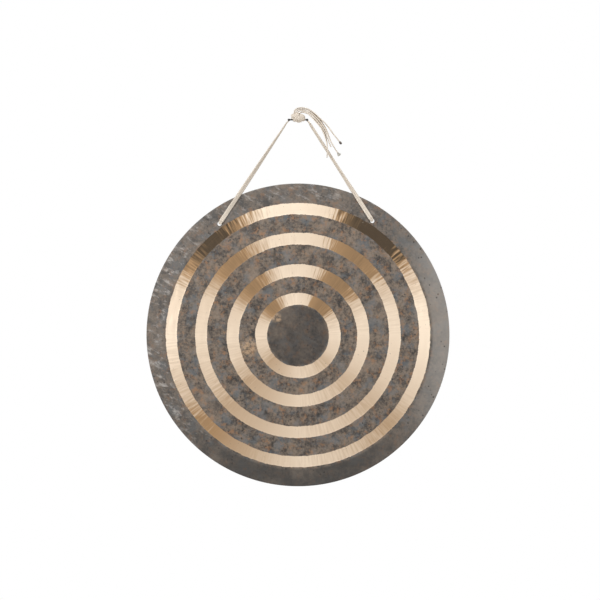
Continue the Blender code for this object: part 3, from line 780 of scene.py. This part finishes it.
class GONG_OT_tapes(bpy.types.Operator):
    """Makes the four strands and the two folds in the holes"""

    bl_idname = "gong.tapes"
    bl_label = "Tapes"

    def execute(self, context):
        sizes = context.scene.gong_sizes
        cotton = cotton_finish(context.scene.gong_tape)
        for side, label, turns in ((-1, "left", LEFT_TURN), (1, "right", RIGHT_TURN)):
            for face, where in ((-1, "front"), (1, "back")):
                line = strand_line(sizes, side, face)
                share = travelled(line) / travelled(line)[-1]
                turn = side * np.interp(share, *turns)
                piece = tape(f"tape_{label}_{where}", line, turn, *TAPE_HALF)
                finish_piece(piece, cotton, "sling", "tape", f"strand_{label}_{where}")
            fold = make_fold(f"tape_fold_{label}", sizes, side)
            finish_piece(fold, cotton, "sling", "tape", f"fold_{label}")
        return {"FINISHED"}


class GONG_OT_knot(bpy.types.Operator):
    """Makes the knot: a core, four tight turns and the shoulders of the four strands"""

    bl_idname = "gong.knot"
    bl_label = "Knot"

    def execute(self, context):
        cotton = bpy.data.materials["plaited_cotton"]
        centre, half = np.array(KNOT_CENTRE), np.array(KNOT_HALF)
        heights, turns = np.linspace(0, math.pi, 41)[1:-1], np.arange(64) * 2 * math.pi / 64
        up, around = np.meshgrid(heights, turns, indexing="ij")
        ball = np.stack([np.sin(up) * np.cos(around), np.sin(up) * np.sin(around), np.cos(up)], axis=-1)
        ball = np.sign(ball) * np.abs(ball) ** 0.82
        core = centre + half * ball
        ends = [tuple(range(64)), tuple(range(38 * 64, 39 * 64))]
        uv = np.stack([around / math.pi, up], axis=-1).reshape(-1, 2)
        piece = make_mesh("knot_core", core, grid_faces(39, 64), ends, uv)
        turn_outwards(piece)
        finish_piece(piece, cotton, "sling", "tape", "tape_knot")
        for index, (nx, ny, nz, shift) in enumerate(KNOT_TURNS):
            band = knot_turn(f"knot_turn_{index + 1}", centre, half, np.array([nz, ny, -nx]), shift, index)
            finish_piece(band, cotton, "sling", "tape")
        for side, label in ((-1, "left"), (1, "right")):
            for face, where in ((-1, "front"), (1, "back")):
                shoulder = knot_shoulder(f"shoulder_{label}_{where}", side, face)
                finish_piece(shoulder, cotton, "sling", "tape")
        return {"FINISHED"}


def knot_turn(name, centre, half, normal, shift, index):
    """One turn of tape round the core: the ellipse in which a plane cuts the swollen core. Its point
    at angle a is c + s n + e1 cos a + e2 sin a, pushed out to the core's surface."""
    normal = unit(normal)
    first = unit(np.cross(normal, [0.0, 0.0, 1.0]))
    second = np.cross(normal, first)
    angle = np.arange(96) * 2 * math.pi / 96
    ray = np.cos(angle)[:, None] * first + np.sin(angle)[:, None] * second
    reach = 1 / np.linalg.norm(ray / (half + 0.0004 + 0.0004 * index), axis=1)
    path = centre + shift * normal + reach[:, None] * ray * math.sqrt(max(0.2, 1 - (abs(shift) / 0.009) ** 2))
    ahead = unit(np.roll(path, -1, axis=0) - np.roll(path, 1, axis=0))
    out = unit((path - centre - shift * normal) / half**2)
    width = unit(np.cross(ahead, out))
    out = np.cross(width, ahead)
    sides = 20
    section = np.arange(sides) * 2 * math.pi / sides
    over = np.sign(np.cos(section)) * np.abs(np.cos(section)) ** 0.55
    up = np.sign(np.sin(section)) * np.abs(np.sin(section)) ** 0.55
    wide = 0.0029 + 0.0004 * np.sin(3 * angle + index)
    rings = path[:, None, :] + (wide[:, None] * over)[:, :, None] * width[:, None, :]
    rings = rings + (0.0011 * (up - 0.25 * over**2))[None, :, None] * out[:, None, :]
    way = travelled(path)
    uv = np.stack(np.broadcast_arrays(over[None, :] * 0.5, way[:, None] / (2 * TAPE_HALF[0])), axis=-1)
    quads = np.vstack([grid_faces(96, sides), closing_quads(96, sides)])
    piece = make_mesh(name, rings, quads, (), uv.reshape(-1, 2))
    turn_outwards(piece)
    return piece


def knot_shoulder(name, side, face):
    """The last stretch of a strand, from beside the pin into the knot."""
    shift = face * 0.0022
    route = (
        (side * 0.0207, 0.0020 + face * 0.0040, -0.0080),
        (side * 0.0186, 0.0035 + face * 0.0028, -0.0050),
        (side * 0.0166, 0.0062 + shift * 0.8, -0.0024),
        (side * 0.0138, 0.0066 + shift * 0.5, 0.0000),
        (side * 0.0104, 0.0056 + shift * 0.4, 0.0020),
        (side * 0.0060, 0.0040, 0.0034),
    )
    line = smooth_curve(route, 0.0006)
    share = travelled(line) / travelled(line)[-1]
    turn = side * np.interp(share, (0.0, 0.4, 1.0), (86.0 if side < 0 else 66.0, 90.0, 90.0))
    wide = np.interp(share, (0.0, 0.35, 1.0), (0.0034, 0.0026, 0.0024))
    return tape(name, line, turn, wide, 0.0008)


class GONG_OT_tails(bpy.types.Operator):
    """Makes the four tails of the knot and the melted ends of two of them"""

    bl_idname = "gong.tails"
    bl_label = "Tails"

    def execute(self, context):
        cotton = bpy.data.materials["plaited_cotton"]
        dark = lump_finish("melted_dark", (0.022, 0.018, 0.016), (0.11, 0.085, 0.07), 0.35)
        pale = lump_finish("melted_pale", (0.26, 0.245, 0.21), (0.46, 0.44, 0.39), 0.45)
        ends = {
            "tail_long_dark": ("fused_end_dark", dark, "melted_dark", 0.0025, 0.0020),
            "tail_long_pale": ("fused_end_pale", pale, "melted_pale", 0.0037, 0.0015),
        }
        for name, (_, _, end_turn) in TAIL_ROUTES.items():
            line = tail_line(name)
            share = travelled(line) / travelled(line)[-1]
            turn = np.full(len(line), 90.0)
            if name != "tail_long_dark":
                turn = turn - 24.0 * np.clip(1 - ((share - 0.5) / 0.32) ** 2, 0.0, 1.0)
            gathered = np.ones(len(line))
            if name in ends:
                gathered = 1 - 0.5 * np.clip((share - 0.9) / 0.1, 0.0, 1.0)
            piece = tape(f"cotton_{name}", line, turn, TAPE_HALF[0] * gathered, TAPE_HALF[1])
            finish_piece(piece, cotton, "sling", "tape", name)
            if name in ends:
                node, finish, slot, wide, thick = ends[name]
                fan = node == "fused_end_pale"
                lump = melted_end(f"melted_{node}", line, 90.0 - end_turn, wide, thick, fan)
                finish_piece(lump, finish, "sling", slot, node)
        return {"FINISHED"}


def melted_end(name, line, turn, wide, thick, fan):
    """A melted lump: sections that swell as 0.55 + 0.45 sin(pi (0.12 + 0.7 s)), or as a fan of
    0.30 + 0.70 sin(pi s / 2), rounded off at the end and dented by slow waves."""
    ahead = unit(line[-1] - line[-3])
    share = np.linspace(0.0, 1.0, 24)
    path = line[-1] + ahead * (0.0001 + 0.0053 * share[:, None])
    swell = 0.55 + 0.45 * np.sin(math.pi * (0.12 + 0.7 * share))
    if fan:
        swell = 0.30 + 0.70 * np.sin(math.pi / 2 * share)
    swell = swell * np.sqrt(np.clip(1.04 - share**6, 0.05, 1.0))
    dents = 1 + 0.10 * np.sin(9 * share + 1.0) * np.sin(5 * share)
    return tape(name, path, turn, wide * swell * dents, thick * swell, sides=20, ripple=0.00012, plait=0.0019)


class GONG_OT_pin(bpy.types.Operator):
    """Makes the black pin that carries the sling: its radius swells from its waist to its ends"""

    bl_idname = "gong.pin"
    bl_label = "Pin"

    def execute(self, context):
        xs = np.linspace(-PIN_HALF_LENGTH, PIN_HALF_LENGTH, 81)
        waist = np.clip((np.abs(xs) - 0.0122) / 0.0022, 0.0, 1.0)
        rounding = 1 - ((np.abs(xs) - 0.0162) / 0.0009).clip(0.0, 0.94) ** 2
        radius = PIN_WAIST + (PIN_RADIUS - PIN_WAIST) * waist**2 * (3 - 2 * waist)
        radius = radius * np.sqrt(np.clip(rounding, 0.0, 1.0))
        line = np.stack([xs, 0 * xs, 0 * xs], axis=-1)
        angle = np.arange(28) * 2 * math.pi / 28
        ring = np.stack([0 * angle, np.cos(angle), np.sin(angle)], axis=-1)
        rings = line[:, None, :] + radius[:, None, None] * ring[None, :, :]
        ends = [tuple(range(28)), tuple(range(80 * 28, 81 * 28))]
        piece = make_mesh("black_pin", rings, grid_faces(81, 28), ends)
        turn_outwards(piece)
        black = lump_finish("black_steel", (0.008, 0.007, 0.006), (0.022, 0.019, 0.015), 0.38)
        finish_piece(piece, black, "hanger", "black_steel", "hanger_pin")
        return {"FINISHED"}


class GONG_OT_stage(bpy.types.Operator):
    """Sets up the camera, the lamps, the pale floor and the white background"""

    bl_idname = "gong.stage"
    bl_label = "Stage"

    def execute(self, context):
        sizes = context.scene.gong_stage
        scene = context.scene
        scene.view_settings.view_transform = "Standard"
        lens = bpy.data.cameras.new("camera")
        lens.lens = sizes.lens
        camera = bpy.data.objects.new("camera", lens)
        camera.location = Vector(sizes.aim) + Vector((0.0, -sizes.distance, 0.0))
        camera.rotation_euler = (math.pi / 2, 0.0, 0.0)
        scene.collection.objects.link(camera)
        scene.camera = camera
        lamps = (
            ("left_softbox", (-1.9, -1.5, 0.3), 1.2, 30.0),
            ("right_softbox", (1.9, -1.6, 0.1), 1.2, 17.0),
            ("top_softbox", (-0.3, -1.3, 1.6), 1.2, 24.0),
            ("back_softbox", (0.4, 2.0, 0.8), 1.6, 26.0),
        )
        for name, place, size, power in lamps:
            light = bpy.data.lights.new(name, "AREA")
            light.size = size
            light.energy = power
            lamp = bpy.data.objects.new(name, light)
            lamp.location = place
            lamp.rotation_euler = (Vector(sizes.aim) - Vector(place)).to_track_quat("-Z", "Y").to_euler()
            scene.collection.objects.link(lamp)
        make_floor(sizes.floor)
        make_world(scene)
        return {"FINISHED"}


def background_rays(tree):
    """1 for the rays that see the white background: camera, glossy and transmission."""
    rays = tree.nodes.new("ShaderNodeLightPath").outputs
    seen = Wire(tree, rays["Is Camera Ray"]).maths("MAXIMUM", Wire(tree, rays["Is Glossy Ray"]))
    return seen.maths("MAXIMUM", Wire(tree, rays["Is Transmission Ray"]))


def make_floor(height):
    """A plain pale floor that reads as the white background in the camera."""
    corners = np.array([(-4.0, -4.0, height), (4.0, -4.0, height), (4.0, 4.0, height), (-4.0, 4.0, height)])
    floor = make_mesh("pale_floor", corners, np.array([[0, 1, 2, 3]]))
    made = Finish("pale_floor")
    made.give(Base_Color=(0.82, 0.81, 0.79), Roughness=0.7)
    lit = made.node("Emission", Color=(1.0, 1.0, 1.0), Strength=1.0)
    both = made.tree.nodes.new("ShaderNodeMixShader")
    plug(made.tree, background_rays(made.tree), both.inputs[0])
    made.tree.links.new(made.shader.outputs[0], both.inputs[1])
    plug(made.tree, lit, both.inputs[2])
    made.tree.links.new(both.outputs[0], made.tree.nodes["Material Output"].inputs[0])
    floor.data.materials.append(made.material)


def make_world(scene):
    """A soft grey room that shows as white behind the object."""
    world = bpy.data.worlds.new("studio")
    world.use_nodes = True
    scene.world = world
    tree = world.node_tree
    glow = tree.nodes["Background"]
    mix = tree.nodes.new("ShaderNodeMix")
    mix.data_type = "RGBA"
    mix.inputs[6].default_value = (0.46, 0.46, 0.46, 1.0)
    mix.inputs[7].default_value = (1.0, 1.0, 1.0, 1.0)
    plug(tree, background_rays(tree), mix.inputs[0])
    tree.links.new(mix.outputs[2], glow.inputs["Color"])


class GONG_PT_panel(bpy.types.Panel):
    """Lists the gong's pieces in the sidebar"""

    bl_label = "Sun gong"
    bl_space_type = "VIEW_3D"
    bl_region_type = "UI"
    bl_category = "Gong"

    def draw(self, context):
        for step in STEPS:
            self.layout.operator(step.bl_idname)
        for group in (context.scene.gong_sizes, context.scene.gong_tape, context.scene.gong_stage):
            box = self.layout.box()
            for key in group.__annotations__:
                box.prop(group, key)


STEPS = (GONG_OT_stage, GONG_OT_plate, GONG_OT_tapes, GONG_OT_knot, GONG_OT_tails, GONG_OT_pin)
CLASSES = (GongSizes, TapeSizes, StageSizes, *STEPS, GONG_PT_panel)


def register():
    for made in CLASSES:
        bpy.utils.register_class(made)
    bpy.types.Scene.gong_sizes = PointerProperty(type=GongSizes)
    bpy.types.Scene.gong_tape = PointerProperty(type=TapeSizes)
    bpy.types.Scene.gong_stage = PointerProperty(type=StageSizes)


def unregister():
    for key in ("gong_stage", "gong_tape", "gong_sizes"):
        delattr(bpy.types.Scene, key)
    for made in reversed(CLASSES):
        bpy.utils.unregister_class(made)


def main():
    register()
    for step in STEPS:
        group, call = step.bl_idname.split(".")
        getattr(getattr(bpy.ops, group), call)()


if __name__ == "__main__":
    main()
